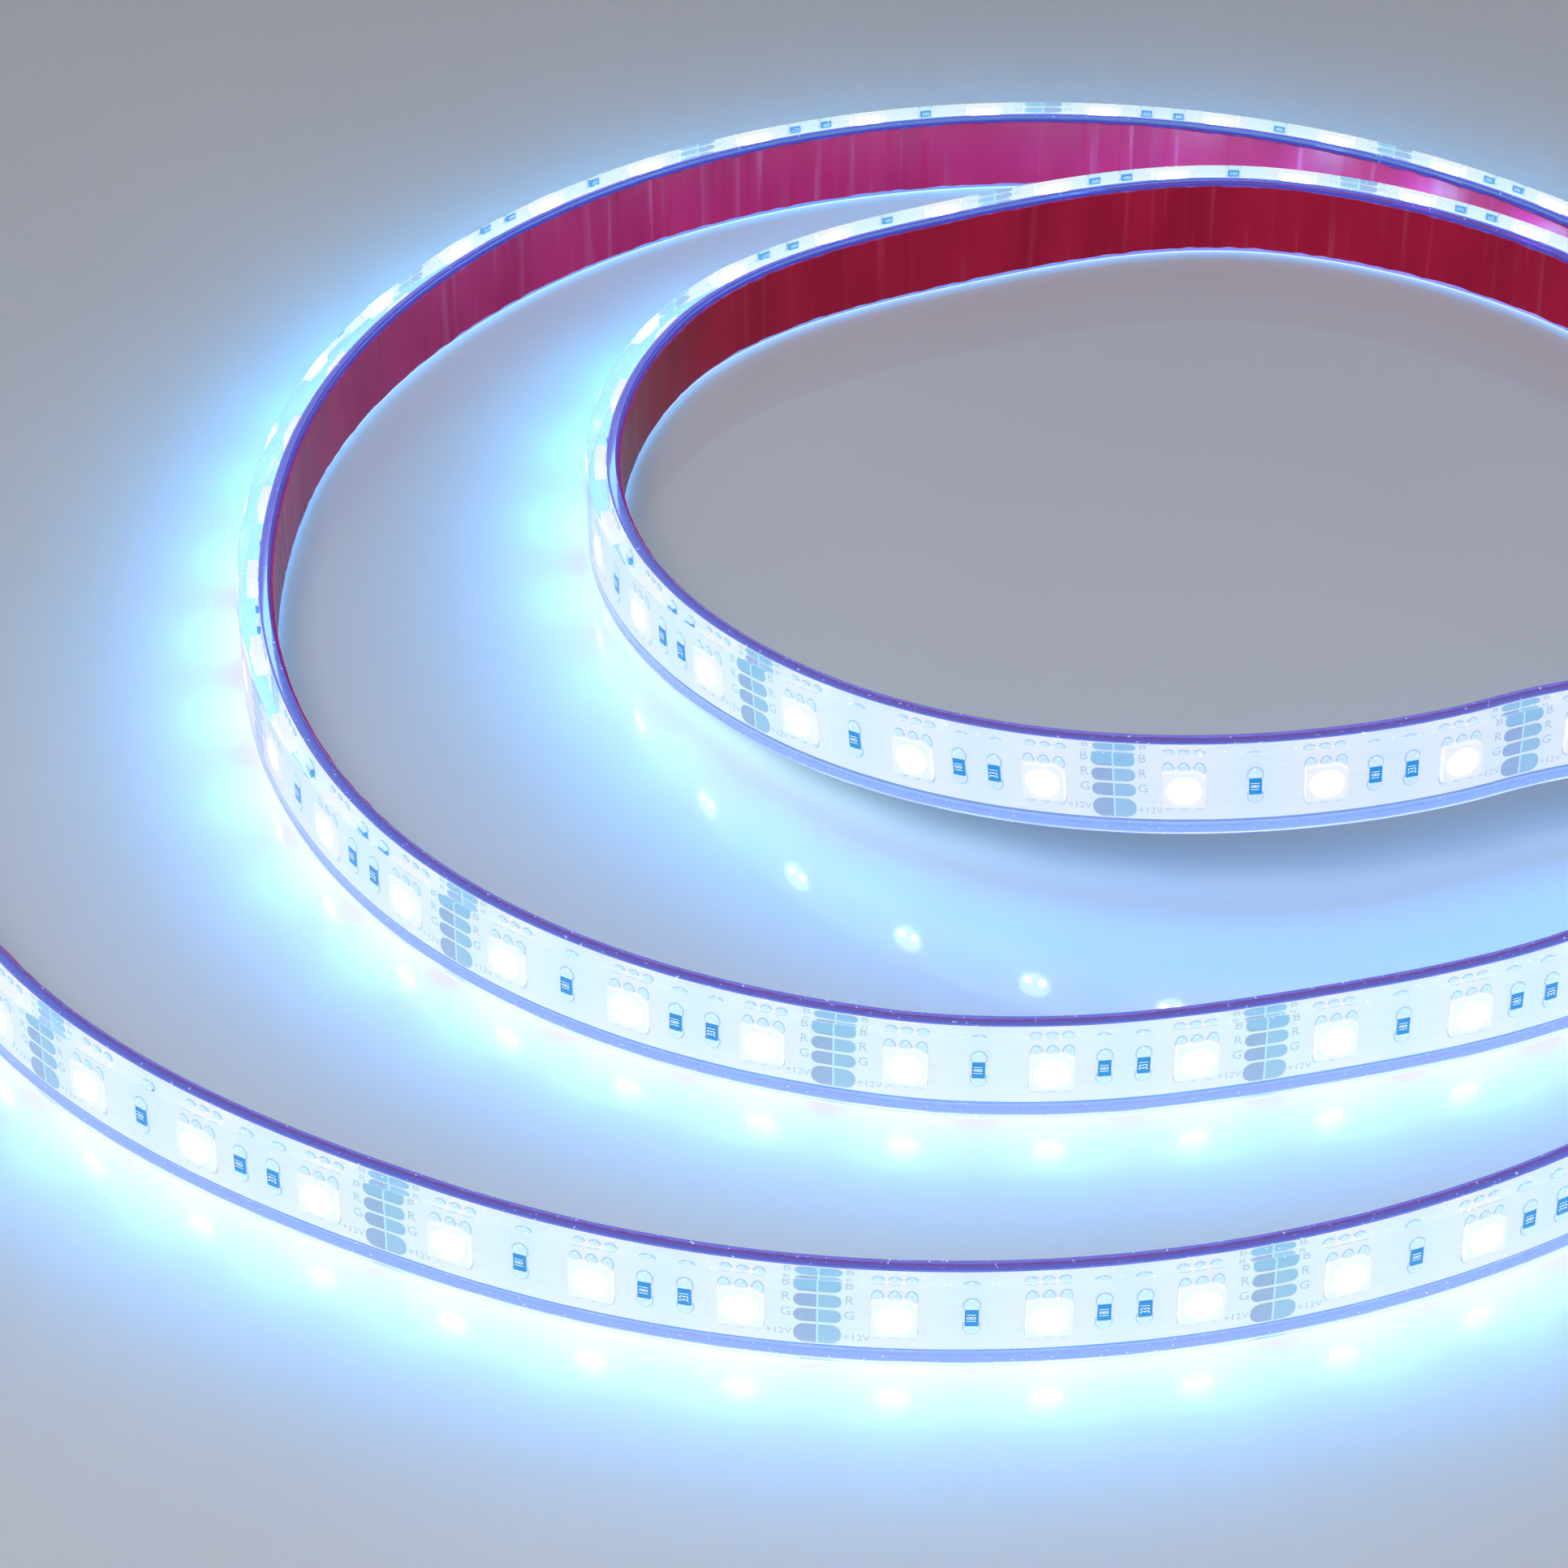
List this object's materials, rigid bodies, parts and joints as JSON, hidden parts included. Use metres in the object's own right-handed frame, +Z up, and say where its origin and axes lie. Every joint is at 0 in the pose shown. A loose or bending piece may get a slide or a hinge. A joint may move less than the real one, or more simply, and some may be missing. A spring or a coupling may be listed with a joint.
{
  "type": "led strip light reel",
  "caption": "Clear silicone LED strip light with a flexible board, taped back and red liner, standing on edge in loose turns.",
  "frame": {"origin": "on the resting surface, under the middle of the strip's outer box", "axes": "+X to the side where the turns gather, +Y to the back, +Z up"},
  "size_m": [0.2658, 0.2526, 0.0243],
  "materials": {
    "clear_silicone": "clear gloss",
    "lit_board": "satin",
    "tape": "matte",
    "liner": "satin film",
    "cap": "satin"
  },
  "bodies": {
    "root": {"silicone_body": "clear_silicone", "flex_board_1": "lit_board", "flex_board_2": "lit_board", "flex_board_3": "lit_board", "adhesive_tape": "tape", "release_liner": "liner", "lead_end_cap": "cap", "blank_end_cap": "cap"}
  },
  "joints": []
}
